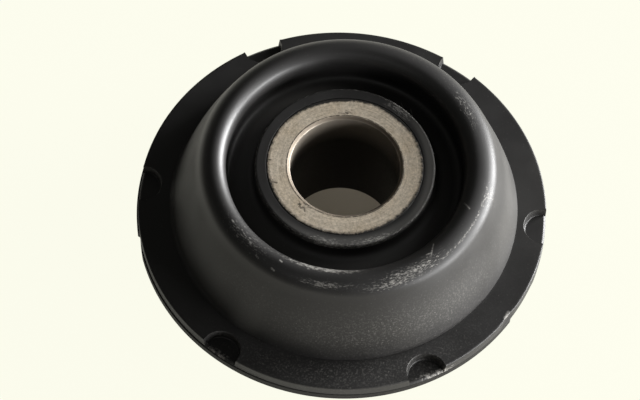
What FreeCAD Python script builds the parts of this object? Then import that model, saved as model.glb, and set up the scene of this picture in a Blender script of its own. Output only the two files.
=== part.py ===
import FreeCAD, Part
import math
import os

# A flanged rubber-to-metal bush for a control arm, in mm.
# Its axis is Z, and Z = 0 is the lower end of the inner sleeve, on which it stands.
# A pocket of the flange lies on +X.

# Inner sleeve, turned from steel tube
bore_d = 14.2            # clears an M14 bolt
sleeve_d = 20.4
sleeve_length = 18.7
bore_chamfer = 0.36
sleeve_edge = 0.15       # broken outer edge at both ends

# Outer shell, pressed from sheet: a spigot for the arm's eye, turned out to a flat flange
shell_sheet = 1.25
spigot_d = 42.0
spigot_step = 0.5        # the spigot ends this far above the sleeve's end
spigot_lead = 0.5        # lead-in chamfer of the spigot
seat_height = 5.6        # underside of the flange above the sleeve's end
seat_bevel = 1.0         # the bend from spigot to flange, a 45-degree step of even sheet
shell_edge = 0.2         # broken edges of the sheet
shell_ledge = 0.2        # the sheet reaches past the rubber rim

# Rubber, moulded and bonded between the two
collar_wall = 1.45       # round the sleeve, level with its end
collar_edge = 0.25       # the bevel outside its end
well_depth = 2.4         # at the collar
well_fall = 0.9          # the floor falls this much more towards the lip
well_bevel = 0.5         # takes both corners out of the well's floor
lip_line_d = 34.1        # centre line of the lip's bead
lip_bead = 1.7           # radius of the bead's inner side
lip_roll = 2.3           # and of its outer side, which rolls over the dome
lip_drop = 0.2           # the inner side's centre below the sleeve's end
lip_undercut = 0.15      # the well is this much wider at its floor than at the bead
lip_root = 8.0           # degrees below level where the dome leaves the bead
dome_base_d = 45.6
dome_bulge = 0.25        # how far the dome's arc stands out of its chord
flange_width = 4.1       # from the dome's base to the rim
flange_thickness = 1.6   # over the shell's flange
flange_edge = 0.3        # the bevel round its top
under_recess = 1.2       # the lower face above the spigot's end

# Pockets in the flange, half-round and open at the rim
pocket_count = 6
pocket_inset = 0.3       # the pocket's centre inside the rim
pocket_land = 1.2        # flange left between the pocket and the dome
pocket_depth = 1.3
pocket_draft = 16.0      # degrees, of the pocket's wall
pocket_bevel = 0.25      # at the floor's open edge

bore_r = bore_d / 2
sleeve_r = sleeve_d / 2
spigot_r = spigot_d / 2
spigot_inner_r = spigot_r - shell_sheet
shoulder_bevel = seat_bevel + (2 - math.sqrt(2)) * shell_sheet
plate_top = seat_height + shell_sheet
flange_top = plate_top + flange_thickness
dome_base_r = dome_base_d / 2
rim_r = dome_base_r + flange_width
shell_r = rim_r + shell_ledge
shoulder_r = spigot_inner_r + shoulder_bevel
shoulder_low = plate_top - shoulder_bevel
collar_r = sleeve_r + collar_wall
lip_r = lip_line_d / 2
lip_z = sleeve_length - lip_drop
roll_z = lip_z + lip_bead - lip_roll
well_r = lip_r - lip_bead + lip_undercut
under_face = spigot_step + under_recess
well_floor = sleeve_length - well_depth
well_low = well_floor - well_fall

axis = FreeCAD.Vector(0, 0, 1)
centre = FreeCAD.Vector(0, 0, 0)


def at(radius, height):
    """A point of a section, in the plane of the axis and +X."""
    return FreeCAD.Vector(radius, 0, height)


def line(start, end):
    return Part.makeLine(start, end)


def arc(start, middle, end):
    return Part.Arc(start, middle, end).toShape()


def round_arc(centre_point, radius, from_angle, to_angle):
    """An arc of a section's circle. Angles are in degrees from outward, turning up."""
    def on(angle):
        turn = math.radians(angle)
        return centre_point + at(radius * math.cos(turn), radius * math.sin(turn))
    return arc(on(from_angle), on((from_angle + to_angle) / 2), on(to_angle))


def bulged(start, end, bulge):
    """An arc from start to end that stands out of its chord, away from the axis."""
    chord = end - start
    outward = chord.cross(FreeCAD.Vector(0, 1, 0)).normalize()
    if outward.x < 0:
        outward = outward * -1
    return arc(start, (start + end) * 0.5 + outward * bulge, end)


def chain(points):
    return [line(a, b) for a, b in zip(points, points[1:])]


def turned(edges):
    """The solid of a closed section turned about the axis."""
    return Part.Face(Part.Wire(edges)).revolve(centre, axis, 360)


def eased(before, corner, after, size):
    """The two points of a bevel that takes a section's corner away."""
    return [
        corner + (before - corner).normalize() * size,
        corner + (after - corner).normalize() * size,
    ]


def inner_sleeve():
    top = sleeve_length
    return turned(chain([
        at(bore_r, bore_chamfer),
        at(bore_r + bore_chamfer, 0),
        at(sleeve_r - sleeve_edge, 0),
        at(sleeve_r, sleeve_edge),
        at(sleeve_r, top - sleeve_edge),
        at(sleeve_r - sleeve_edge, top),
        at(bore_r + bore_chamfer, top),
        at(bore_r, top - bore_chamfer),
        at(bore_r, bore_chamfer),
    ]))


def outer_shell():
    return turned(chain([
        at(shoulder_r, plate_top),
        at(spigot_inner_r, shoulder_low),
        at(spigot_inner_r, spigot_step),
        at(spigot_r - spigot_lead, spigot_step),
        at(spigot_r, spigot_step + spigot_lead),
        at(spigot_r, seat_height - seat_bevel),
        at(spigot_r + seat_bevel, seat_height),
        at(shell_r - shell_edge, seat_height),
        at(shell_r, seat_height + shell_edge),
        at(shell_r, plate_top - shell_edge),
        at(shell_r - shell_edge, plate_top),
        at(shoulder_r, plate_top),
    ]))


def pocket():
    """What one pocket takes out of the flange: a drafted half-round with a bevelled sill."""
    radius = flange_width - pocket_inset - pocket_land
    slope = math.tan(math.radians(pocket_draft))
    floor = flange_top - pocket_depth
    above = flange_top + pocket_depth
    wall = Part.makeCone(
        radius - flange_thickness * slope,
        radius + pocket_depth * slope,
        above - plate_top,
        at(rim_r - pocket_inset, plate_top),
        axis,
    )
    sill_r = rim_r - pocket_bevel
    beyond_r = rim_r + radius
    over_sill = turned(chain([
        at(dome_base_r, floor),
        at(sill_r, floor),
        at(beyond_r, floor - (beyond_r - sill_r)),
        at(beyond_r, above),
        at(dome_base_r, above),
        at(dome_base_r, floor),
    ]))
    return wall.common(over_sill)


def rubber_section():
    """Half the moulding: collar, well, lip, dome and flange, then back inside the shell."""
    bead_centre = at(lip_r, lip_z)
    roll_centre = at(lip_r, roll_z)
    root_turn = math.radians(-lip_root)
    lip_inside = at(lip_r - lip_bead, lip_z)
    lip_outside = roll_centre + at(lip_roll * math.cos(root_turn), lip_roll * math.sin(root_turn))
    dome_base = at(dome_base_r, flange_top)
    bond_top = at(sleeve_r, sleeve_length)
    collar_top = at(collar_r, sleeve_length)
    collar_root = at(collar_r, well_floor)
    well_corner = at(well_r, well_low)

    collar_and_well = (
        [at(sleeve_r, under_face), bond_top]
        + eased(bond_top, collar_top, collar_root, collar_edge)
        + eased(collar_top, collar_root, well_corner, well_bevel)
        + eased(collar_root, well_corner, lip_inside, well_bevel)
        + [lip_inside]
    )
    flange_and_core = [
        dome_base,
        at(rim_r - flange_edge, flange_top),
        at(rim_r, flange_top - flange_edge),
        at(rim_r, plate_top),
        at(shoulder_r, plate_top),
        at(spigot_inner_r, shoulder_low),
        at(spigot_inner_r, under_face),
        at(sleeve_r, under_face),
    ]
    return (
        chain(collar_and_well)
        + [round_arc(bead_centre, lip_bead, 180, 90), round_arc(roll_centre, lip_roll, 90, -lip_root)]
        + [bulged(lip_outside, dome_base, dome_bulge)]
        + chain(flange_and_core)
    )


def rubber_body():
    body = turned(rubber_section())
    first = pocket()
    for number in range(pocket_count):
        body = body.cut(first.rotated(centre, axis, 360 * number / pocket_count))
    return body


def export(name, shape):
    if len(shape.Solids) != 1 or not shape.isValid():
        raise ValueError(name + " isn't one valid solid")
    shape.Solids[0].exportStep("parts/" + name + ".step")
    print(name, round(shape.Volume, 1), "mm3")


os.makedirs("parts", exist_ok=True)
export("inner_sleeve", inner_sleeve())
export("rubber_body", rubber_body())
export("outer_shell", outer_shell())
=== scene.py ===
import math

import bpy
import numpy as np
from mathutils import Matrix, Vector


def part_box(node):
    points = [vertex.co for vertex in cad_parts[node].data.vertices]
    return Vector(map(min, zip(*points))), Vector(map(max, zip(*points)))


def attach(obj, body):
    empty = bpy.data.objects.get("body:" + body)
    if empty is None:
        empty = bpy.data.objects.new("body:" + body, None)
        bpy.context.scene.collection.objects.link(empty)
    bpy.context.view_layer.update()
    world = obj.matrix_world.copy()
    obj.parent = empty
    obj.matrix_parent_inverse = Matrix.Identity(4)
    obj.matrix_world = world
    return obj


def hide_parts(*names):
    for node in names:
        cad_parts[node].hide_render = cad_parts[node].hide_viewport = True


# A flanged rubber bush for a control arm, standing on its sleeve. Z is the bore, and a pocket lies
# on +X. Sizes in the dictionaries are millimetres and degrees. Meshes are metres, as the frame is.
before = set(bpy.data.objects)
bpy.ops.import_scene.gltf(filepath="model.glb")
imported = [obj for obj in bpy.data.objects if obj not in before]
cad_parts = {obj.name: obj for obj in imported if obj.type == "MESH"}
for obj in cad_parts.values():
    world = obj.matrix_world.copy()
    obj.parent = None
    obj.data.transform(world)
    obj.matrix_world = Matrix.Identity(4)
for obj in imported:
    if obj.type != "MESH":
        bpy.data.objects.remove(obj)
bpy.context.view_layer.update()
mm = 0.001
sharpFrom = 38               # degrees between two faces whose edge stays sharp
everywhere = math.inf        # half width or half depth of a patch with no end

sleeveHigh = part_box("inner_sleeve")[1] / mm
rubberLow, rubberHigh = (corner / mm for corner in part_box("rubber_body"))
shellLow, shellHigh = (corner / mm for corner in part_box("outer_shell"))
sleeveR, sleeveTop = sleeveHigh.x, sleeveHigh.z
rimR, underFace = rubberHigh.x, rubberLow.z
shellR, plateTop, spigotLow = shellHigh.x, shellHigh.z, shellLow.z
print("frame loaded:", ", ".join(sorted(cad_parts)))


def linear(hexColour):
    # sRGB hex to the linear colour that a shader wants
    parts = np.array([int(hexColour[i:i + 2], 16) for i in (1, 3, 5)]) / 255
    bright = ((parts + 0.055) / 1.055) ** 2.4
    return (*np.where(parts <= 0.04045, parts / 12.92, bright).tolist(), 1.0)


def addNode(tree, kind, settings=(), links=()):
    # settings name an input or a property of the node. links name an input and what feeds it:
    # a node, by its first output, or one of a node's other outputs.
    node = tree.nodes.new("ShaderNode" + kind)
    for name, value in dict(settings).items():
        if isinstance(name, str) and hasattr(node, name):
            setattr(node, name, value)
        else:
            node.inputs[name].default_value = value
    for name, source in dict(links).items():
        output = source.outputs[0] if isinstance(source, bpy.types.Node) else source
        tree.links.new(output, node.inputs[name])
    return node


# Surfaces

def spot(azimuth, radius, height):
    # one corner of a section, for every column round the axis
    return np.stack([azimuth, radius + 0 * azimuth, height + 0 * azimuth])


def easedPath(corners, eases, straight=4, bend=5):
    # A section walked from corner to corner in straight runs. Each inner corner c gives way to the
    # parabola (1-t)^2 a + 2t(1-t) c + t^2 b between the points a and b at the eased distance from
    # it. A corner holds azimuth, radius and height for every column; rows x 3 x columns come back.
    hold, most = 0.04, 0.45      # rows this near a run's ends, and most of a run that eases take
    shares = np.r_[0, hold, np.linspace(0, 1, straight + 2)[1:-1], 1 - hold, 1][:, None, None]
    turns = np.linspace(0, 1, bend + 2)[1:-1, None, None]
    rows, start = [], corners[0]
    for before, corner, after, ease in zip(corners, corners[1:], corners[2:], eases):
        inward, outward = before - corner, after - corner
        reach = [np.maximum(np.hypot(run[1], run[2]), 1e-6) for run in (inward, outward)]
        cut = np.minimum(ease, most * np.minimum(*reach))
        enter, leave = corner + inward * cut / reach[0], corner + outward * cut / reach[1]
        rows.append(start + (enter - start) * shares)
        rows.append((1 - turns) ** 2 * enter + 2 * turns * (1 - turns) * corner + turns ** 2 * leave)
        start = leave
    rows.append(start + (corners[-1] - start) * shares)
    return np.concatenate(rows)


def arcRows(azimuth, middle, radius, fromAngle, toAngle, count):
    # Rows on a circle of the section: middle + radius (cos a, sin a), where a turns up from outward
    turn = np.radians(np.linspace(fromAngle, toAngle, count))[:, None]
    radii = middle[0] + radius * np.cos(turn) + 0 * azimuth
    heights = middle[1] + radius * np.sin(turn) + 0 * azimuth
    return np.stack([azimuth + 0 * turn, radii, heights], 1)


def bulgedRows(azimuth, start, end, bulge, count):
    # Rows on the arc from start to end that stands out of its chord by bulge:
    # its radius is (c^2 / 4 + b^2) / 2b, for a chord c and a bulge b
    start, end = np.array(start), np.array(end)
    chord = np.linalg.norm(end - start)
    radius = (chord ** 2 / 4 + bulge ** 2) / (2 * bulge)
    along = (end - start) / chord
    outward = np.array([-along[1], along[0]])
    half = math.asin(chord / 2 / radius)
    turn = np.linspace(-half, half, count)[:, None]
    centre = (start + end) / 2 + outward * (bulge - radius)
    spots = centre + radius * (np.sin(turn) * along + np.cos(turn) * outward)
    shape = spots[:, :, None] + 0 * azimuth
    return np.stack([0 * shape[:, 0] + azimuth, shape[:, 0], shape[:, 1]], 1)


def ringMesh(name, rows, attributes=()):
    # rows x 3 x columns of azimuth, radius and height, closed on itself both ways, becomes a mesh
    # of quads at x = r cos a, y = r sin a, z = h. Its volume's sign tells which way the faces look.
    azimuth, radius, height = rows[:, 0], rows[:, 1], rows[:, 2]
    points = np.stack([radius * np.cos(azimuth), radius * np.sin(azimuth), height], -1) * mm
    count, columns = azimuth.shape
    here = np.arange(count * columns).reshape(count, columns)
    beside, above = np.roll(here, -1, 1), np.roll(here, -1, 0)
    quads = np.stack([here, beside, np.roll(beside, -1, 0), above], -1).reshape(-1, 4)
    flat = points.reshape(-1, 3)
    a, b, c, d = (flat[quads[:, i]] for i in range(4))
    volume = (np.cross(b, c) * a).sum() + (np.cross(c, d) * a).sum()
    if volume < 0:
        quads = quads[:, ::-1]
    mesh = bpy.data.meshes.new(name)
    mesh.vertices.add(len(flat))
    mesh.vertices.foreach_set("co", flat.ravel())
    mesh.loops.add(quads.size)
    mesh.loops.foreach_set("vertex_index", quads.ravel())
    mesh.polygons.add(len(quads))
    mesh.polygons.foreach_set("loop_start", np.arange(0, quads.size, 4))
    mesh.polygons.foreach_set("use_smooth", np.ones(len(quads), bool))
    mesh.update(calc_edges=True)
    for label, values in dict(attributes).items():
        layer = mesh.attributes.new(label, "FLOAT", "POINT")
        layer.data.foreach_set("value", values.ravel().astype(np.float32))
    mesh.set_sharp_from_angle(angle=math.radians(sharpFrom))
    piece = bpy.data.objects.new(name, mesh)
    bpy.context.scene.collection.objects.link(piece)
    return piece


def patch(azimuth, across, place, size, power=2):
    # 1 at a place (degrees, mm along the section's radius or height), falling to 0 past its size
    turn = (np.degrees(azimuth) - place[0] + 180) % 360 - 180
    away = np.hypot(turn / size[0], (across - place[1]) / size[1])
    return np.exp(-away ** power)


def traces(azimuth, places, listed):
    # The sum of the listed patches. A place has its mask and what is measured across it. A row says
    # place, strength, azimuth, mm across, half width in degrees, half depth in mm, and power.
    total = 0 * azimuth
    for place, strength, turn, at, wide, deep, power in listed:
        mask, across = places[place]
        total = total + strength * mask * patch(azimuth, across, (turn, at), (wide, deep), power)
    return total


# The outer shell: sheet steel pressed to a spigot with a flange

shell = {
    "sheet": 1.25,
    "spigotR": 21.0,
    "seam": 2.0,             # the section starts this far above the spigot's end
    "lead": 0.5,
    "bend": 1.0,
    "bendEase": 1.5,         # rounding of the bend, of the lead-in and of the other corners
    "leadEase": 0.12,
    "ease": 0.1,
    "edge": 0.2,             # and of the trimmed edge
    "offCentre": 0.13,       # the trimmed edge lies this far towards -X
    # nicks of the trimmed edge: azimuths of their sudden end and of where they run out, and depth
    "nicks": [(-166.0, -158.5, 0.3), (-29.5, -15.0, 0.55)],
    "bite": (-0.5, 6.5, 0.6),    # and a plain one: azimuth, half width and depth
    "biteSides": 4,          # power that makes its sides steep
    "columns": 720,
    "rows": (5, 6),          # in a straight run and in a bend
}
spigotInnerR = shell["spigotR"] - shell["sheet"]
shoulder = shell["bend"] + (2 - math.sqrt(2)) * shell["sheet"]


def outerShell():
    # A closed section turned round: spigot, lead-in, bend, trimmed edge, and back inside.
    # The edge is at R - e (1 + cos a), less nicks whose depth falls evenly from their sudden ends.
    azimuth = np.linspace(0, 2 * math.pi, shell["columns"], endpoint=False)
    middle, width, depth = shell["bite"]
    lost = depth * patch(azimuth, 0, (middle, 0), (width, everywhere), shell["biteSides"])
    for first, last, depth in shell["nicks"]:
        share = ((np.degrees(azimuth) - first + 180) % 360 - 180) / (last - first)
        lost += depth * np.where((share > 0) & (share < 1), 1 - share, 0)
    edgeR = shellR - shell["offCentre"] * (1 + np.cos(azimuth)) - lost
    seat = plateTop - shell["sheet"]
    corners = [spot(azimuth, radius, height) for radius, height in (
        (spigotInnerR, spigotLow + shell["seam"]),
        (spigotInnerR, spigotLow),
        (shell["spigotR"] - shell["lead"], spigotLow),
        (shell["spigotR"], spigotLow + shell["lead"]),
        (shell["spigotR"], seat),
        (edgeR, seat),
        (edgeR, plateTop),
        (spigotInnerR + shoulder, plateTop),
        (spigotInnerR, plateTop - shoulder),
        (spigotInnerR, spigotLow + shell["seam"]),
    )]
    ease = shell["ease"]
    edge = shell["edge"]
    eases = [ease, ease, shell["leadEase"], shell["bendEase"], edge, edge, ease, ease]
    return ringMesh("outerShell", easedPath(corners, eases, *shell["rows"])[:-1])


shellPiece = outerShell()
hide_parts("outer_shell")
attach(shellPiece, "root")
print("shell pressed:", len(shellPiece.data.polygons), "faces")


# The rubber: one moulding, bonded to the sleeve and the shell

rubber = {
    "bondEdge": 0.02,        # rounding of the edge that is bonded to the sleeve
    "collarWall": 1.45,
    "collarEdge": 0.32,
    "wellDepth": 2.4,
    "wellFall": 0.9,
    "wellEase": 1.4,
    "lipLine": 17.05,
    "bead": 1.7,             # the lip's radius on its inner side
    "roll": 2.3,             # and on its outer side
    "undercut": 0.15,
    "lipRoot": 24.5,         # degrees above level where the dome leaves the lip
    "domeBase": 22.8,
    "domeBulge": 0.25,
    "flangeThickness": 1.6,
    "flangeEdge": 0.24,
    "rimFoot": 0.12,
    "underEases": (0.1, 0.2),     # rounding of the hidden corners inside the shell
    "unevenness": (0.021, 0.0175),     # the moulded lip lies this far inside true, and strays by this
    "waves": [(3, 1.0, 0.7), (5, 0.6, 2.1), (11, 0.4, 0.0)],   # waves round it, strength, phase
    "strayAbove": (3, 6),    # it strays from this far above the flange, fully this much higher
    "strayOutside": (14, 2),     # and from this radius, fully this much further out
    "offCentre": (0.2, 0.35),     # the lip and the dome's base lie this far towards +X,
    "offWithin": 1,          # the lip from within this of its line
    # and on that side the roll swells: how much, how far past the lip, and half width
    "swell": (0.3, 2.0, 1.3),
    "rimNick": (-31.0, 2.4, 0.2),     # azimuth, half width and depth
    "nickReach": (1.2, 0.3),      # it fades out inwards over this, starting so far above the sheet
    # rows in a straight run, on the bead, roll and dome, on the flange's runs and bends, and below
    "rows": {"straight": 6, "bead": 22, "roll": 26, "dome": 26, "flange": (3, 4), "under": 3},
}
pocket = {
    "count": 6,
    "radius": 2.6,
    "inset": 0.3,
    "depth": 1.3,
    "draft": 7.0,
    "sill": 0.25,
    "brow": 0.09,            # rounding of the wall's upper edge, its foot, the sill and the rim
    "foot": 0.2,
    "sillEase": 0.12,
    "rimEase": 0.1,
    "arcColumns": 29,
    "landColumns": 41,
    "evenShare": 0.6,        # share of even steps in the land's columns, the rest crowd to its ends
    "wallGap": 0.05,         # between the wall's lowest rows where they run down the rim's side
}
flangeTop = plateTop + rubber["flangeThickness"]
rubberWearAndPaintedLight = {
    # where a place lies: radii from and to, heights from and to, and what is measured across it
    "places": {
        "all": (0, everywhere, 0, everywhere, "radius"),
        "collar": (0, 12.2, sleeveTop - 1, everywhere, "radius"),
        "well": (0, everywhere, flangeTop + 4, sleeveTop - 1.5, "radius"),
        "lip": (0, everywhere, rubberHigh.z - 2.4, everywhere, "radius"),
        "roll": (18, everywhere, 0, everywhere, "radius"),
        "dome": (18, everywhere, 0, everywhere, "height"),
        "flange": (22.5, everywhere, 0, everywhere, "radius"),
        "rim": (24, everywhere, 0, everywhere, "radius"),
        "sill": (rimR - 0.5, everywhere, plateTop + 0.05, flangeTop - 0.7, "radius"),
    },
    # each row: place, strength, azimuth, mm across, half width in degrees, half depth in mm, power
    "scuff": [
        ("lip", 1.4, -94, 15.95, 15, 0.5, 2),
        ("lip", 1.0, -93, 18.15, 10, 0.32, 2),
        ("lip", 0.6, -68, 18.6, 8, 0.35, 2),
        ("lip", 0.75, -24, 18.5, 18, 0.16, 2),
        ("lip", 0.9, -56, 18.0, 13, 0.8, 2),
        ("lip", 0.45, 33, 17.6, 12, 0.8, 2),
        ("lip", 0.45, -131, 17.1, 14, 1.1, 2),
        ("roll", 0.6, -8.5, 19.0, 5, 0.7, 2),
        ("collar", 1.0, -97, 11.3, 12, 0.4, 2),
        ("collar", 1.0, -66, 11.3, 12, 0.4, 2),
        ("collar", 0.9, 56, 11.1, 11, 0.7, 2),
        ("collar", 0.55, 0, 11.6, everywhere, 0.16, 2),
        ("sill", 1.3, -57, 0, 5, everywhere, 2),
        ("sill", 1.3, -121, 0, 4, everywhere, 2),
    ],
    "dust": [                # loose grains
        ("dome", 0.85, -64, 12.8, 44, 3.6, 2),
        ("dome", 0.3, -123, 15.6, 11, 2.2, 2),
        ("flange", 0.65, -85, 24.9, 38, 1.9, 4),
        ("rim", 0.5, -58, 26.0, 5, 1.2, 2),
    ],
    "paintedLight": [                # painted light: a pale veil in the dust's colour where light and reflections fall
        ("dome", 0.09, 8, 11.8, 32, 3.6, 4),
        ("dome", 0.05, -48, 13.5, 24, 3.0, 2),
        ("well", 0.26, 128, 13.4, 34, 1.3, 2),
        ("well", 0.1, -80, 13.6, 45, 1.2, 2),
        ("collar", 0.2, -75, 11.2, 55, 0.7, 4),
        ("collar", 0.35, 8, 11.2, 38, 0.7, 4),
    ],
    "dulled": [("all", 0.7, 5, 19.0, 50, 1.5, 2)],     # where the lip has lost its wax
    "waxReach": 0.9,         # the wax fades out this far from the bead
    "waxFrom": 0.3,          # and starts this far outside the well's wall
}


def pocketWall(share, height):
    # A circle round a centre just inside the rim, wider upwards by the draft. Its arc inside the rim
    # runs from share -1 to 1. Gives azimuth from the pocket's middle, and radius from the axis.
    centre = rimR - pocket["inset"]
    radius = pocket["radius"] + (height - flangeTop) * math.tan(math.radians(pocket["draft"]))
    reach = np.arccos((centre ** 2 + radius ** 2 - rimR ** 2) / (2 * centre * radius))
    inward = centre - radius * np.cos(share * reach)
    across = radius * np.sin(share * reach)
    return np.arctan2(across, inward), np.hypot(across, inward)


def pocketCorners():
    # The flange's corners for the columns of one pocket: dome, wall's top, wall's foot, sill, rim.
    # The foot lies on the floor, or past the sill on its bevel, which falls by what it goes outward.
    share = np.linspace(-1, 1, pocket["arcColumns"])
    floor, sillR = flangeTop - pocket["depth"], rimR - pocket["sill"]
    low = floor + 0 * share
    for _ in range(12):      # each turn brings the foot nearer to the bevel; twelve are plenty
        low = floor - np.maximum(0, pocketWall(share, low)[1] - sillR)
    topAzimuth, topRadius = pocketWall(share, flangeTop + 0 * share)
    lowAzimuth, lowRadius = pocketWall(share, low)
    sillAt = np.maximum(sillR, lowRadius)
    return [
        spot(topAzimuth[-1] * share, rubber["domeBase"], flangeTop),
        spot(topAzimuth, topRadius, flangeTop),
        spot(lowAzimuth, lowRadius, low),
        spot(lowAzimuth, sillAt, floor - (sillAt - sillR)),
        spot(lowAzimuth[-1] * share, rimR, floor - pocket["sill"]),
    ]


def landCorners(edge):
    # The same corners between two pockets, where the wall's rows run down the rim's side.
    # Columns start and end on the pockets' edges and stand closer together there.
    steps = np.linspace(0, 1, pocket["landColumns"] + 2)[1:-1]
    even = pocket["evenShare"]
    share = even * steps + (1 - even) * (0.5 - 0.5 * np.cos(math.pi * steps))
    pitch = 2 * math.pi / pocket["count"]
    top, low = (start + share * (pitch - 2 * start) for start in edge)
    sillLow, gap = flangeTop - pocket["depth"] - pocket["sill"], pocket["wallGap"]
    return [
        spot(top, rubber["domeBase"], flangeTop),
        spot(top, rimR, flangeTop),
        spot(low, rimR, sillLow + 2 * gap),
        spot(low, rimR, sillLow + gap),
        spot(low, rimR, sillLow),
    ]


def rubberRows():
    # The whole section, for the columns of six pockets and the lands between them
    inPocket = pocketCorners()
    onLand = landCorners((inPocket[0][0, -1], inPocket[-1][0, -1]))
    turned = np.arange(pocket["count"]) * 2 * math.pi / pocket["count"]
    step = np.array([1.0, 0, 0])[:, None]
    flangeCorners = [
        np.concatenate([np.concatenate([p, l], 1) + turn * step for turn in turned], 1)
        for p, l in zip(inPocket, onLand)
    ]
    top, low = flangeCorners[0][0], flangeCorners[-1][0]
    isPocket = np.r_[np.ones(pocket["arcColumns"]), np.zeros(pocket["landColumns"])]
    isPocket = np.tile(isPocket, pocket["count"])

    rows = rubber["rows"]
    collarR = sleeveR + rubber["collarWall"]
    wellFloor = sleeveTop - rubber["wellDepth"]
    crestZ, rollZ = rubberHigh.z - rubber["bead"], rubberHigh.z - rubber["roll"]
    lipInner = rubber["lipLine"] - rubber["bead"]
    inner = easedPath([
        spot(low, sleeveR, underFace),
        spot(top, sleeveR, sleeveTop),
        spot(top, collarR, sleeveTop),
        spot(top, collarR, wellFloor),
        spot(top, lipInner + rubber["undercut"], wellFloor - rubber["wellFall"]),
        spot(top, lipInner, crestZ),
    ], [rubber[name] for name in ("bondEdge", "collarEdge", "wellEase", "wellEase")],
        rows["straight"])
    lipLine, lipRoot = rubber["lipLine"], rubber["lipRoot"]
    bead = arcRows(top, (lipLine, crestZ), rubber["bead"], 180, 90, rows["bead"])
    roll = arcRows(top, (lipLine, rollZ), rubber["roll"], 90, lipRoot, rows["roll"])
    root = math.radians(lipRoot)
    lipOuter = (lipLine + rubber["roll"] * math.cos(root), rollZ + rubber["roll"] * math.sin(root))
    domeEnd = (rubber["domeBase"], flangeTop)
    dome = bulgedRows(top, lipOuter, domeEnd, rubber["domeBulge"], rows["dome"])
    edge = np.where(isPocket > 0, pocket["brow"], rubber["flangeEdge"])
    shoulderTop = spot(low, spigotInnerR + shoulder, plateTop)
    flange = easedPath(
        flangeCorners + [spot(low, rimR, plateTop), shoulderTop],
        [edge, pocket["foot"], pocket["sillEase"], pocket["rimEase"], rubber["rimFoot"]],
        *rows["flange"],
    )
    under = easedPath([
        shoulderTop,
        spot(low, spigotInnerR, plateTop - shoulder),
        spot(low, spigotInnerR, underFace),
        spot(low, sleeveR, underFace),
    ], rubber["underEases"], rows["under"])
    return np.concatenate([inner, bead[1:], roll[1:], dome[1:], flange[1:], under[1:-1]])


def bendRows(azimuth, radius, height):
    # What one moulding and its wear add to the true section; radius is changed in place.
    # The lip strays by a few slow waves, fading out towards the flange
    (above, rise), (start, run) = rubber["strayAbove"], rubber["strayOutside"]
    lip = np.clip((height - flangeTop - above) / rise, 0, 1) * np.clip((radius - start) / run, 0, 1)
    inside, strays = rubber["unevenness"]
    stray = sum(much * np.sin(count * azimuth + phase) for count, much, phase in rubber["waves"])
    radius -= lip * (inside + strays * stray)
    # lip and dome sit a little off the sleeve's axis, more so towards the dome's base
    lipLine, within = rubber["lipLine"], rubber["offWithin"]
    shift = np.interp(radius, [lipLine - within, lipLine + within, rubber["domeBase"]],
                      [0, *rubber["offCentre"]], right=0)
    much, past, width = rubber["swell"]
    swell = much * np.exp(-((radius - lipLine - past) / width) ** 2)
    lean = shift * np.cos(azimuth) + swell * np.clip(np.cos(azimuth), 0, 1)
    radius += lean * (height > flangeTop - 0.01)     # the flange's top and all above it
    # the rim's nick, fading out inwards
    middle, width, depth = rubber["rimNick"]
    reach, above = rubber["nickReach"]
    onRim = np.clip((radius - rimR + reach) / reach, 0, 1) * (height > plateTop + above)
    radius -= depth * onRim * patch(azimuth, 0, (middle, 0), (width, everywhere))


def rubberBody():
    # The section's rows, bent by moulding and wear, with a share of each kind of wear and of painted
    # light at each point.
    # The lip's wax falls evenly with the distance from its bead's circle.
    rows = rubberRows()
    azimuth, radius, height = rows[:, 0], rows[:, 1], rows[:, 2]
    bendRows(azimuth, radius, height)
    places = {}
    for name, (nearest, farthest, lowest, highest, measured) in rubberWearAndPaintedLight["places"].items():
        mask = (radius > nearest) & (radius < farthest) & (height > lowest) & (height < highest)
        places[name] = mask, height if measured == "height" else radius
    scuff, dust, paintedLight, dulled = (
        traces(azimuth, places, rubberWearAndPaintedLight[name]) for name in ("scuff", "dust", "paintedLight", "dulled")
    )
    fromLine = np.hypot(radius - rubber["lipLine"], height - rubberHigh.z + rubber["bead"])
    beadAway = fromLine - rubber["bead"]
    waxFrom = rubber["lipLine"] - rubber["bead"] + rubberWearAndPaintedLight["waxFrom"]
    waxed = np.clip(1 - beadAway / rubberWearAndPaintedLight["waxReach"], 0, 1) * (radius > waxFrom)
    polish = waxed * (1 - dulled)
    # how far along the section each row lies, for patterns that follow it
    step = np.hypot(np.diff(radius[:, :1], axis=0), np.diff(height[:, :1], axis=0))
    walked = np.concatenate([np.zeros((1, 1)), np.cumsum(step, 0)]) + 0 * azimuth
    return ringMesh("rubberBody", rows, {
        "scuff": np.clip(scuff, 0, 1), "dust": np.clip(dust, 0, 1), "paintedLight": paintedLight,
        "polish": polish, "walked": walked,
    })


rubberPiece = rubberBody()
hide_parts("rubber_body")
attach(rubberPiece, "root")
print("rubber moulded:", len(rubberPiece.data.polygons), "faces")


# The inner sleeve: steel tube, faced at both ends

sleeve = {
    "boreR": 7.1,
    "boreChamfer": 0.36,
    "outerEdge": 0.15,
    "burr": 0.05,            # rounding left on every edge
    "columns": 400,
    "rows": 12,              # in a straight run
    # rusty pits and thicker dirt on the face, in rows as the rubber's
    "pits": [
        ("face", 1.0, -128, 8.25, 7, 0.7, 2),
        ("face", 1.0, 94, 7.95, 7, 0.35, 2),
        ("face", 1.0, -160, 9.7, 1.5, 0.5, 2),
    ],
    "grime": [
        ("face", 1.0, 108, 10.0, 24, 0.5, 2),
        ("face", 0.8, 52, 10.0, 16, 0.5, 2),
        ("face", 0.4, -45, 10.0, 24, 0.5, 2),
        ("face", 0.35, -150, 10.0, 20, 0.5, 2),
    ],
}


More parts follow.
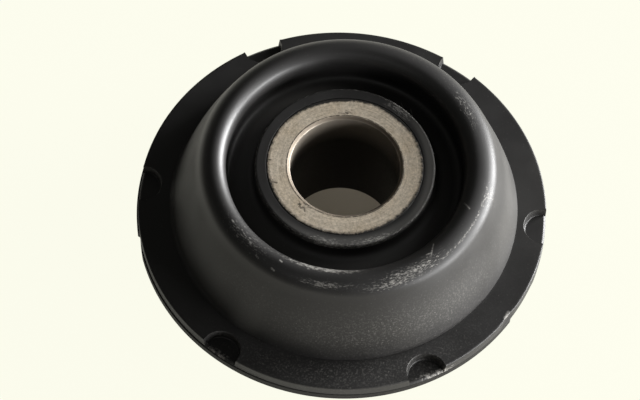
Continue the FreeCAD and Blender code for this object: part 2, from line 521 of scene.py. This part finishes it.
def innerSleeve():
    # A closed section turned round: bore, chamfer, face, broken edge, outside, and the same below
    azimuth = np.linspace(0, 2 * math.pi, sleeve["columns"], endpoint=False)
    boreR, chamfer, edge = sleeve["boreR"], sleeve["boreChamfer"], sleeve["outerEdge"]
    corners = [spot(azimuth, radius, height) for radius, height in (
        (boreR, sleeveTop / 2),
        (boreR, sleeveTop - chamfer),
        (boreR + chamfer, sleeveTop),
        (sleeveR - edge, sleeveTop),
        (sleeveR, sleeveTop - edge),
        (sleeveR, edge),
        (sleeveR - edge, 0),
        (boreR + chamfer, 0),
        (boreR, chamfer),
        (boreR, sleeveTop / 2),
    )]
    rows = easedPath(corners, [sleeve["burr"]] * (len(corners) - 2), sleeve["rows"])[:-1]
    places = {"face": (1, rows[:, 1])}
    pits, grime = (traces(rows[:, 0], places, sleeve[name]) for name in ("pits", "grime"))
    worn = {"stain": np.clip(pits, 0, 1), "grime": np.clip(grime, 0, 1)}
    return ringMesh("innerSleeve", rows, worn)


sleevePiece = innerSleeve()
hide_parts("inner_sleeve")
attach(sleevePiece, "root")
print("sleeve turned:", len(sleevePiece.data.polygons), "faces")


# Materials

def newMaterial(name):
    # an empty material, its node tree and the place on the object in millimetres
    material = bpy.data.materials.new(name)
    material.use_nodes = True
    tree = material.node_tree
    tree.nodes.clear()
    place = addNode(tree, "TexCoord").outputs["Object"]
    inMm = addNode(tree, "VectorMath", {"operation": "SCALE", "Scale": 1 / mm}, {0: place})
    return material, tree, inMm


def finishMaterial(tree, shader):
    addNode(tree, "OutputMaterial", {}, {"Surface": shader})


def noise(scale, detail, rough=0.5):
    return {"Scale": scale, "Detail": detail, "Roughness": rough}


def ramp(fromMin, fromMax, toMin=0.0, toMax=1.0):
    return {"From Min": fromMin, "From Max": fromMax, "To Min": toMin, "To Max": toMax}


# Carbon-black filled natural rubber, compression moulded in a polished mould, then stored and
# handled: black with a satin shine, waxed a little glossier on the lip, a grey bloom in slow clouds,
# pale specks and films of dust, chalky scuffs drawn out round the lip, and a few thin scratches.
# Painted light lies on it too: a pale veil in the dust's colour where light and reflections fall on
# the dome, the collar and the well.
rubberLook = {
    "bloom": ("#181717", "#252423"),      # clearest and cloudiest
    "cloud": noise(0.22, 4.0),            # clouds of 4.5 mm
    # colour of the dust, and of the painted light's pale veil
    "dust": "#92908b",
    "speckScale": 2.6,       # cells of 0.38 mm with one speck in some of them
    "speck": ramp(0.12, 0.22, 1.0, 0.0),  # full and gone this share of a cell from its middle
    "speckless": 0.8,        # share of cells without one
    "speckShare": (0.08, 0.5),            # strength of a speck in clean and in dusty places
    "grain": noise(4.0, 3.0, 0.7),        # grains of 0.1 mm, drawn at 0.25 mm so that they show
    "film": ramp(0.5, 0.8, 0.0, 0.5),
    "chalk": "#bebbb4",
    "streak": noise(2.2, 6.0, 0.75),      # scuffs of 0.45 mm round the axis
    "streakThin": 2.2,       # and thinner by this along the section
    "scuffLift": 0.16,       # a full scuff lifts its noise by this
    "torn": ramp(0.59, 0.85),
    "within": ramp(0.0, 0.35),
    "broken": ramp(0.36, 0.5),            # scratches break where the grain is low
    "satin": ramp(0.3, 0.7, 0.45, 0.55),  # roughness from the clearest to the cloudiest bloom
    "lip": 0.5,              # roughness of the lip under its wax
    "chalkRough": 0.35,      # chalk adds this to the roughness
    "wax": 0.26,             # share of the lip's wax, and its roughness
    "waxRough": 0.34,
    "ior": 1.52,
    "bump": {"Strength": 0.12, "Distance": 0.00003},
    # scratches and nicks: start and end as azimuth, radius and height, then reach and strength
    "marks": [
        ((-175.4, 19.98, 16.82), (-172.9, 19.92, 16.93), 0.13, 0.8),
        ((-173.0, 20.22, 16.50), (-171.5, 20.30, 16.39), 0.2, 0.9),
        ((173.4, 19.23, 17.74), (176.8, 19.11, 17.86), 0.14, 0.35),
        ((-41.1, 16.36, 20.05), (-44.5, 17.10, 20.20), 0.13, 0.6),
        ((-44.5, 17.10, 20.20), (-47.2, 17.90, 19.98), 0.13, 0.7),
        ((-47.2, 17.90, 19.98), (-50.5, 18.50, 19.40), 0.14, 0.7),
        ((-47.0, 17.00, 20.20), (-45.1, 17.16, 20.20), 0.13, 0.6),
        ((-15.5, 16.30, 20.03), (-17.4, 17.20, 20.20), 0.15, 0.5),
        ((62.6, 13.52, 15.86), (58.8, 12.95, 16.00), 0.09, 0.3),
        ((56.2, 13.60, 15.84), (52.7, 12.91, 16.00), 0.09, 0.35),
        ((-50.3, 23.12, 9.15), (-48.9, 23.24, 8.75), 0.25, 0.6),
        ((-31.9, 26.62, 8.40), (-29.9, 26.50, 8.45), 0.3, 0.45),
        ((-141.7, 16.95, 20.2), (-140.5, 17.00, 20.2), 0.17, 0.6),
        ((-134.9, 17.74, 20.1), (-134.1, 17.78, 20.1), 0.16, 0.7),
        ((-128.7, 17.15, 20.2), (-127.8, 17.25, 20.2), 0.17, 0.7),
        ((-122.8, 17.95, 20.0), (-121.6, 18.10, 19.95), 0.18, 0.7),
        ((-114.6, 18.25, 19.8), (-113.4, 18.33, 19.75), 0.18, 0.8),
        ((-113.2, 16.88, 20.2), (-112.2, 16.96, 20.2), 0.16, 0.7),
    ],
}


def lineMark(tree, place, start, end, reach, strength):
    # Strength on the line from a to b, falling to 0 at its reach. A point p lies
    # |p - a - t (b - a)| away, where t = (p - a).(b - a) / |b - a|^2 is held between 0 and 1.
    a, b = (Matrix.Rotation(math.radians(turn), 3, "Z") @ Vector((radius, 0, height))
            for turn, radius, height in (start, end))
    run = b - a
    fromStart = addNode(tree, "VectorMath", {"operation": "SUBTRACT", 1: a}, {0: place})
    share = {"operation": "DOT_PRODUCT", 1: run / run.length_squared}
    along = addNode(tree, "VectorMath", share, {0: fromStart}).outputs["Value"]
    held = addNode(tree, "Clamp", {}, {"Value": along})
    nearest = addNode(tree, "VectorMath", {"operation": "SCALE", 0: run}, {"Scale": held})
    away = addNode(tree, "VectorMath", {"operation": "DISTANCE"}, {0: fromStart, 1: nearest})
    fading = ramp(0.0, reach, strength, 0.0)
    return addNode(tree, "MapRange", fading, {"Value": away.outputs["Value"]})


def mouldedRubber():
    look = rubberLook
    material, tree, place = newMaterial("moulded natural rubber, satin black, dusty")
    scuffed, dusty, paintedLightShare, polished, walked = (
        addNode(tree, "Attribute", {"attribute_name": name}).outputs["Fac"]
        for name in ("scuff", "dust", "paintedLight", "polish", "walked")
    )
    clear, cloudy = (linear(colour) for colour in look["bloom"])
    cloud = addNode(tree, "TexNoise", look["cloud"], {"Vector": place})
    base = addNode(tree, "Mix", {"data_type": "RGBA", 6: clear, 7: cloudy}, {0: cloud})
    # specks of dust, about 0.15 mm
    cells = addNode(tree, "TexVoronoi", {"Scale": look["speckScale"]}, {"Vector": place})
    near = addNode(tree, "MapRange", look["speck"], {"Value": cells})
    pick = addNode(tree, "SeparateColor", {}, {"Color": cells.outputs["Color"]})
    chosen = addNode(tree, "Math", {"operation": "GREATER_THAN", 1: look["speckless"]}, {0: pick})
    speck = addNode(tree, "Math", {"operation": "MULTIPLY"}, {0: near, 1: chosen})
    speckLevel = addNode(tree, "MapRange", ramp(0.0, 1.0, *look["speckShare"]), {"Value": dusty})
    speckShare = addNode(tree, "Math", {"operation": "MULTIPLY"}, {0: speck, 1: speckLevel})
    # a fine film of it, and the painted light's pale veil in the dust's colour
    grains = addNode(tree, "TexNoise", look["grain"], {"Vector": place})
    film = addNode(tree, "MapRange", look["film"], {"Value": grains})
    filmShare = addNode(tree, "Math", {"operation": "MULTIPLY"}, {0: film, 1: dusty})
    dustLaid = addNode(tree, "Math", {"operation": "ADD"}, {0: speckShare, 1: filmShare})
    clamped = {"operation": "ADD", "use_clamp": True}
    dustAndPaintedLight = addNode(tree, "Math", clamped, {0: dustLaid, 1: paintedLightShare})
    # scuffs: torn chalky streaks, 0.45 mm long round the axis and 0.2 mm wide along the section
    axes = addNode(tree, "SeparateXYZ", {}, {"Vector": place}).outputs
    across = addNode(tree, "Math", {"operation": "MULTIPLY", 1: look["streakThin"]}, {0: walked})
    ringwise = addNode(tree, "CombineXYZ", {}, {"X": axes["X"], "Y": axes["Y"], "Z": across})
    streaks = addNode(tree, "TexNoise", look["streak"], {"Vector": ringwise})
    lift = {"operation": "MULTIPLY_ADD", 1: look["scuffLift"]}
    raised = addNode(tree, "Math", lift, {0: scuffed, 2: streaks})
    torn = addNode(tree, "MapRange", look["torn"], {"Value": raised})
    within = addNode(tree, "MapRange", look["within"], {"Value": scuffed})
    scuff = addNode(tree, "Math", {"operation": "MULTIPLY"}, {0: torn, 1: within})
    # scratches, broken where the fine grains are low
    broken = addNode(tree, "MapRange", look["broken"], {"Value": grains})
    marks = lineMark(tree, place, *look["marks"][0])
    for mark in look["marks"][1:]:
        links = {0: marks, 1: lineMark(tree, place, *mark)}
        marks = addNode(tree, "Math", {"operation": "MAXIMUM"}, links)
    scratch = addNode(tree, "Math", {"operation": "MULTIPLY"}, {0: marks, 1: broken})
    chalk = addNode(tree, "Math", {"operation": "MAXIMUM"}, {0: scuff, 1: scratch})
    # the dust's colour over the bloom, where dust lies and where light is painted as a pale veil
    withDustAndPaintedLight = addNode(tree, "Mix", {"data_type": "RGBA", 7: linear(look["dust"])},
                       {0: dustAndPaintedLight, 6: base.outputs[2]})
    withChalk = addNode(tree, "Mix", {"data_type": "RGBA", 7: linear(look["chalk"])},
                        {0: chalk, 6: withDustAndPaintedLight.outputs[2]})
    # the skin is duller in the bloom's clouds and where it is scuffed
    satin = addNode(tree, "MapRange", look["satin"], {"Value": cloud})
    shine = addNode(tree, "Mix", {"data_type": "FLOAT", 3: look["lip"]}, {0: polished, 2: satin})
    dull = {"operation": "MULTIPLY_ADD", 1: look["chalkRough"]}
    rough = addNode(tree, "Math", dull, {0: chalk, 2: shine})
    bump = addNode(tree, "Bump", look["bump"], {"Height": grains})
    wax = addNode(tree, "Math", {"operation": "MULTIPLY", 1: look["wax"]}, {0: polished})
    shader = addNode(
        tree, "BsdfPrincipled",
        {"IOR": look["ior"], "Metallic": 0.0, "Coat Roughness": look["waxRough"]},
        {"Base Color": withChalk.outputs[2], "Roughness": rough, "Coat Weight": wax,
         "Normal": bump},
    )
    finishMaterial(tree, shader)
    return material


# Mild steel tube, faced on a lathe and lightly blasted: a dull warm grey that holds no reflections,
# with faint turned rings and a speckle of blast grain. The bore keeps its mill scale, with painted
# shade on it: pale at its mouth and dark below. Dirt is crusted where the rubber starts and lies in
# the line between face and chamfer.
mouthR = sleeve["boreR"] + sleeve["boreChamfer"]
steelLook = {
    "face": ("#aca08d", "#ebdfcc"),
    "warmth": "#e6dac4",     # tints the face in clouds of 3.3 mm
    # the chamfer's colour, darkened: painted shade that tones down the light it catches
    "chamfer": "#7c7265",
    "scale": ("#141210", "#a0978b"),      # mill scale with painted shade: dark deep in the bore, painted pale at its mouth where light falls
    "paintedShadeDepth": ramp(sleeveTop - 5.5, sleeveTop - 0.6),
    "dirt": ("#4a3826", "#15130f"),       # thin and thick
    "ringsPerMm": 5.0,       # with the noise's own scale, rings of the facing tool 0.13 mm apart
    "rings": noise(1.6, 3.0, 0.6),
    "blast": noise(3.4, 3.0, 0.8),        # grain of 0.1 mm, drawn at 0.3 mm so that it shows
    "blastShare": 2.0,       # of blast grain to one of rings
    "tone": ramp(1.05, 1.95),
    "cloud": noise(0.3, 3.0),
    "warm": ramp(0.4, 0.65, 0.0, 0.35),
    "ragged": noise(1.8, 5.0, 0.75),
    "wander": 1.1,           # the dirt's inner border wanders by about 0.3 mm
    "grimeWide": 0.45,       # and lies this much further in where grime is thick
    "crust": ramp(sleeveR - 0.02, sleeveR + 0.42),
    "lineAt": mouthR + 0.1,
    "line": ramp(0.04, 0.13, 0.9, 0.0),
    "broken": ramp(0.34, 0.5),
    "speck": noise(3.0, 4.0, 0.7),
    "pitLift": 0.62,         # how much a pitted place lifts its specks
    "pits": ramp(0.98, 1.12, 0.0, 0.85),
    "onChamfer": ramp(mouthR - 0.03, mouthR + 0.03, 1.0, 0.0),
    "inBore": ramp(sleeve["boreR"] + 0.03, sleeve["boreR"] + 0.1, 1.0, 0.0),
    "metal": 0.5,            # where it is clean: the blasted face and the scale are half oxide
    "rough": ramp(0.3, 0.7, 0.52, 0.68),
    "boreSmoother": -0.22,
    "bump": {"Strength": 0.3, "Distance": 0.00003},
    # rusty nicks: start and end as azimuth and radius, then reach and strength
    "marks": [
        ((-125.8, 8.49), (-124.1, 8.15), 0.2, 0.95),
        ((-124.1, 8.15), (-121.0, 8.54), 0.18, 0.9),
        ((-127.4, 7.66), (-124.6, 7.70), 0.18, 0.95),
        ((-121.7, 7.76), (-118.8, 7.70), 0.16, 0.8),
        ((-131.1, 9.90), (-128.5, 9.85), 0.26, 0.95),
        ((-159.4, 9.92), (-157.1, 9.17), 0.2, 0.95),
        ((-178.4, 10.1), (-178.2, 9.66), 0.24, 1.0),
        ((101.5, 7.95), (96.2, 7.80), 0.22, 0.6),
        ((95.2, 8.30), (89.7, 7.90), 0.2, 0.5),
    ],
}


def facedSteel():
    look = steelLook
    material, tree, place = newMaterial("faced and blasted mild steel, dull warm grey")
    stained, grimy = (
        addNode(tree, "Attribute", {"attribute_name": name}).outputs["Fac"]
        for name in ("stain", "grime")
    )
    axes = addNode(tree, "SeparateXYZ", {}, {"Vector": place}).outputs
    flat = addNode(tree, "CombineXYZ", {}, {"X": axes["X"], "Y": axes["Y"]})
    radius = addNode(tree, "VectorMath", {"operation": "LENGTH"}, {0: flat}).outputs["Value"]
    outward = addNode(tree, "VectorMath", {"operation": "NORMALIZE"}, {0: flat})
    heading = addNode(tree, "SeparateXYZ", {}, {"Vector": outward}).outputs
    # rings of the facing tool: noise read along the radius, and slowly round the axis
    ringAt = addNode(tree, "Math", {"operation": "MULTIPLY", 1: look["ringsPerMm"]}, {0: radius})
    turned = addNode(tree, "CombineXYZ", {}, {"X": heading["X"], "Y": heading["Y"], "Z": ringAt})
    rings = addNode(tree, "TexNoise", look["rings"], {"Vector": turned})
    blast = addNode(tree, "TexNoise", look["blast"], {"Vector": place})
    both = {"operation": "MULTIPLY_ADD", 1: look["blastShare"]}
    grain = addNode(tree, "Math", both, {0: blast, 2: rings})
    grainShare = addNode(tree, "MapRange", look["tone"], {"Value": grain})
    dark, light = (linear(colour) for colour in look["face"])
    tone = addNode(tree, "Mix", {"data_type": "RGBA", 6: dark, 7: light}, {0: grainShare})
    cloud = addNode(tree, "TexNoise", look["cloud"], {"Vector": place})
    warmShare = addNode(tree, "MapRange", look["warm"], {"Value": cloud})
    tint = {"data_type": "RGBA", "blend_type": "MULTIPLY", 7: linear(look["warmth"])}
    warm = addNode(tree, "Mix", tint, {0: warmShare, 6: tone.outputs[2]})
    # dirt at the outer edge
    ragged = addNode(tree, "TexNoise", look["ragged"], {"Vector": place})
    wander = {"operation": "MULTIPLY_ADD", 1: look["wander"]}
    border = addNode(tree, "Math", wander, {0: ragged, 2: radius})
    widen = {"operation": "MULTIPLY_ADD", 1: look["grimeWide"]}
    wide = addNode(tree, "Math", widen, {0: grimy, 2: border})
    crust = addNode(tree, "MapRange", look["crust"], {"Value": wide})
    # and in a broken line just outside the chamfer
    fromLine = addNode(tree, "Math", {"operation": "SUBTRACT", 1: look["lineAt"]}, {0: radius})
    away = addNode(tree, "Math", {"operation": "ABSOLUTE"}, {0: fromLine})
    lineShare = addNode(tree, "MapRange", look["line"], {"Value": away})
    broken = addNode(tree, "MapRange", look["broken"], {"Value": ragged})
    edgeLine = addNode(tree, "Math", {"operation": "MULTIPLY"}, {0: lineShare, 1: broken})
    # rusty pits and nicks
    specks = addNode(tree, "TexNoise", look["speck"], {"Vector": place})
    lift = {"operation": "MULTIPLY_ADD", 1: look["pitLift"]}
    pitting = addNode(tree, "Math", lift, {0: stained, 2: specks})
    pits = addNode(tree, "MapRange", look["pits"], {"Value": pitting})
    dirt = addNode(tree, "Math", {"operation": "MAXIMUM"}, {0: crust, 1: edgeLine})
    dirt = addNode(tree, "Math", {"operation": "MAXIMUM"}, {0: dirt, 1: pits})
    for start, end, reach, strength in look["marks"]:
        mark = lineMark(tree, place, (*start, sleeveTop), (*end, sleeveTop), reach, strength)
        dirt = addNode(tree, "Math", {"operation": "MAXIMUM"}, {0: dirt, 1: mark})
    clean = addNode(tree, "MapRange", ramp(0.0, 1.0, 1.0, 0.0), {"Value": dirt})
    thin, thick = (linear(colour) for colour in look["dirt"])
    dirty = addNode(tree, "Mix", {"data_type": "RGBA", 6: thin, 7: thick}, {0: dirt})
    # the chamfer takes its own darker colour, painted shade that tones down the light it catches
    onChamfer = addNode(tree, "MapRange", look["onChamfer"], {"Value": radius})
    turnedFace = addNode(tree, "Mix", {"data_type": "RGBA", 7: linear(look["chamfer"])},
                         {0: onChamfer, 6: warm.outputs[2]})
    face = addNode(tree, "Mix", {"data_type": "RGBA"},
                   {0: clean, 6: dirty.outputs[2], 7: turnedFace.outputs[2]})
    # inside the bore: mill scale with painted shade, paler towards the mouth and dark below, and
    # smoother than the face
    inside = addNode(tree, "MapRange", look["inBore"], {"Value": radius})
    depth = addNode(tree, "MapRange", look["paintedShadeDepth"], {"Value": axes["Z"]})
    deep, mouth = (linear(colour) for colour in look["scale"])
    scale = addNode(tree, "Mix", {"data_type": "RGBA", 6: deep, 7: mouth}, {0: depth})
    colour = addNode(tree, "Mix", {"data_type": "RGBA"},
                     {0: inside, 6: face.outputs[2], 7: scale.outputs[2]})
    bare = addNode(tree, "Math", {"operation": "MAXIMUM"}, {0: clean, 1: inside})
    metal = addNode(tree, "Math", {"operation": "MULTIPLY", 1: look["metal"]}, {0: bare})
    faceRough = addNode(tree, "MapRange", look["rough"], {"Value": blast})
    smoother = {"operation": "MULTIPLY_ADD", 1: look["boreSmoother"]}
    rough = addNode(tree, "Math", smoother, {0: inside, 2: faceRough})
    bump = addNode(tree, "Bump", look["bump"], {"Height": grain})
    shader = addNode(
        tree, "BsdfPrincipled", {},
        {"Base Color": colour.outputs[2], "Metallic": metal, "Roughness": rough, "Normal": bump},
    )
    finishMaterial(tree, shader)
    return material


# Deep-drawn mild steel, dip painted black: smooth and dull in slow clouds of 2.5 mm, with worn and
# dusty grains of 0.3 mm.
shellLook = {
    "paint": ("#0f0f0e", "#1b1a19"),
    "worn": "#6f6a5f",
    "cloud": noise(0.4, 4.0),
    "grain": noise(3.0, 5.0, 0.7),
    "wornShare": ramp(0.6, 0.72, 0.0, 0.5),
    "rough": ramp(0.0, 1.0, 0.5, 0.65),
    "ior": 1.5,
    "shine": 0.3,            # the paint has weathered to less than a full gloss
    "bump": {"Strength": 0.15, "Distance": 0.00003},
}


def paintedShell():
    look = shellLook
    material, tree, place = newMaterial("dip painted pressed steel, satin black")
    cloud = addNode(tree, "TexNoise", look["cloud"], {"Vector": place})
    dark, light = (linear(colour) for colour in look["paint"])
    paint = addNode(tree, "Mix", {"data_type": "RGBA", 6: dark, 7: light}, {0: cloud})
    grains = addNode(tree, "TexNoise", look["grain"], {"Vector": place})
    worn = addNode(tree, "MapRange", look["wornShare"], {"Value": grains})
    colour = addNode(tree, "Mix", {"data_type": "RGBA", 7: linear(look["worn"])},
                     {0: worn, 6: paint.outputs[2]})
    rough = addNode(tree, "MapRange", look["rough"], {"Value": cloud})
    bump = addNode(tree, "Bump", look["bump"], {"Height": grains})
    shader = addNode(
        tree, "BsdfPrincipled",
        {"IOR": look["ior"], "Metallic": 0.0, "Specular IOR Level": look["shine"]},
        {"Base Color": colour.outputs[2], "Roughness": rough, "Normal": bump},
    )
    finishMaterial(tree, shader)
    return material


rubberPiece.data.materials.append(mouldedRubber())
sleevePiece.data.materials.append(facedSteel())
shellPiece.data.materials.append(paintedShell())
print("materials made")


# Floor, lights and camera

studio = {
    "paper": "#fefeef",      # ivory sheet under and behind the part, as the camera sees it
    "litPaper": "#f6f0e6",   # and as it is lit
    "shadedPaper": "#feeccb",     # and the tint of its glow under the part: painted shade, as the paper is seen through the bore
    "floorSize": 6.0,        # metres
    "cameraLift": 0.97,      # share of plain paper that the camera sees, the rest is lit
    "mirrorLift": 0.5,       # the same for reflections
    "clearWithin": (9.0, 22.0),   # under the part it falls to a small share
    "clearShare": 0.06,
    "skyColour": (1.0, 0.98, 0.95, 1.0),
    "skyGrey": 0.02,
    "skyMirror": 0.05,
}
lamps = {
    # azimuth and elevation, distance and size in metres, and the light on a surface that faces it
    "windowLight": (26, 8, 1.0, (0.65, 0.24), 3.3),
    "sideStrip": (-22, 9, 1.0, (0.5, 0.26), 1.4),
    "windowTop": (28, 27, 1.0, (0.6, 0.35), 0.4),
    "frontFill": (-95, 60, 1.2, (1.0, 0.5), 0.04),
}
cameraSetup = {
    "focalPixels": 3000.0,
    "widthPixels": 640.0,
    "sensorWidth": 36.0,
    "fromAxis": 29.31,
    "roll": 3.13,
    "turn": 3.5,
    "distance": 385.96,
    "right": 3.23,           # from the sleeve's face to the picture's middle, as the picture lies
    "up": 4.41,
    "clip": (0.01, 20.0),    # metres
}


def plainShare(tree, cameraLift, mirrorLift):
    # share of plain paper for camera rays, and for glossy and transmission rays
    rays = addNode(tree, "LightPath").outputs
    links = {0: rays["Is Glossy Ray"], 1: rays["Is Transmission Ray"]}
    mirrored = addNode(tree, "Math", {"operation": "ADD"}, links)
    weakened = addNode(tree, "Math", {"operation": "MULTIPLY", 1: mirrorLift}, {0: mirrored})
    lift = {"operation": "MULTIPLY_ADD", 1: cameraLift, "use_clamp": True}
    return addNode(tree, "Math", lift, {0: rays["Is Camera Ray"], 2: weakened})


def paperFloor():
    half = studio["floorSize"] / 2
    corners = [(-half, -half, 0), (half, -half, 0), (half, half, 0), (-half, half, 0)]
    mesh = bpy.data.meshes.new("paperFloor")
    mesh.from_pydata(corners, [], [(0, 1, 2, 3)])
    floor = bpy.data.objects.new("paperFloor", mesh)
    bpy.context.scene.collection.objects.link(floor)
    material, tree, place = newMaterial("ivory paper")
    plain = plainShare(tree, studio["cameraLift"], studio["mirrorLift"])
    fromAxis = addNode(tree, "VectorMath", {"operation": "LENGTH"}, {0: place}).outputs["Value"]
    fading = ramp(*studio["clearWithin"], studio["clearShare"])
    outside = addNode(tree, "MapRange", fading, {"Value": fromAxis})
    share = addNode(tree, "Math", {"operation": "MULTIPLY"}, {0: plain, 1: outside})
    sheet = addNode(tree, "BsdfDiffuse", {"Color": linear(studio["litPaper"])})
    shaded, paper = linear(studio["shadedPaper"]), linear(studio["paper"])
    seen = addNode(tree, "Mix", {"data_type": "RGBA", 6: shaded, 7: paper}, {0: outside})
    glow = addNode(tree, "Emission", {"Strength": 1.0}, {"Color": seen.outputs[2]})
    finishMaterial(tree, addNode(tree, "MixShader", {}, {0: share, 1: sheet, 2: glow}))
    mesh.materials.append(material)


def sky():
    world = bpy.data.worlds.new("sky")
    world.use_nodes = True
    bpy.context.scene.world = world
    tree = world.node_tree
    tree.nodes.clear()
    share = plainShare(tree, 1.0, studio["skyMirror"])
    dim = addNode(tree, "Background", {"Color": studio["skyColour"], "Strength": studio["skyGrey"]})
    paper = addNode(tree, "Background", {"Color": linear(studio["paper"]), "Strength": 1.0})
    both = addNode(tree, "MixShader", {}, {0: share, 1: dim, 2: paper})
    addNode(tree, "OutputWorld", {}, {"Surface": both})


def addLamp(name, azimuth, elevation, distance, size, level):
    # a panel that faces the part, with the power that gives its level: pi^2 level distance^2
    azimuth, elevation = math.radians(azimuth), math.radians(elevation)
    across = math.cos(elevation)
    away = Vector((math.cos(azimuth) * across, math.sin(azimuth) * across, math.sin(elevation)))
    light = bpy.data.lights.new(name, "AREA")
    light.shape = "RECTANGLE"
    light.size, light.size_y = size
    light.energy = level * math.pi ** 2 * distance ** 2
    made = bpy.data.objects.new(name, light)
    made.location = away * distance
    made.rotation_euler = away.to_track_quat("Z", "Y").to_euler()
    bpy.context.scene.collection.objects.link(made)


def addCamera():
    # It looks along the axis tilted by fromAxis, turned round Z, and rolled about its own view
    tilt, roll, turn = (math.radians(cameraSetup[key]) for key in ("fromAxis", "roll", "turn"))
    slant = math.sin(tilt)
    back = Vector((math.sin(turn) * slant, -math.cos(turn) * slant, math.cos(tilt)))
    level = Vector((math.cos(turn), math.sin(turn), 0))
    right = math.cos(roll) * level + math.sin(roll) * back.cross(level)
    up = back.cross(right)
    aim = Vector((0, 0, sleeveTop)) - right * cameraSetup["right"] - up * cameraSetup["up"]
    place = (aim + back * cameraSetup["distance"]) * mm
    data = bpy.data.cameras.new("camera")
    data.sensor_width = cameraSetup["sensorWidth"]
    data.lens = data.sensor_width * cameraSetup["focalPixels"] / cameraSetup["widthPixels"]
    data.clip_start, data.clip_end = cameraSetup["clip"]
    camera = bpy.data.objects.new("camera", data)
    turned = Matrix((right, up, back)).transposed().to_4x4()
    camera.matrix_world = Matrix.Translation(place) @ turned
    bpy.context.scene.collection.objects.link(camera)
    bpy.context.scene.camera = camera


paperFloor()
sky()
for name, lamp in lamps.items():
    addLamp(name, *lamp)
addCamera()
bpy.context.scene.view_settings.view_transform = "Standard"
print("studio set")
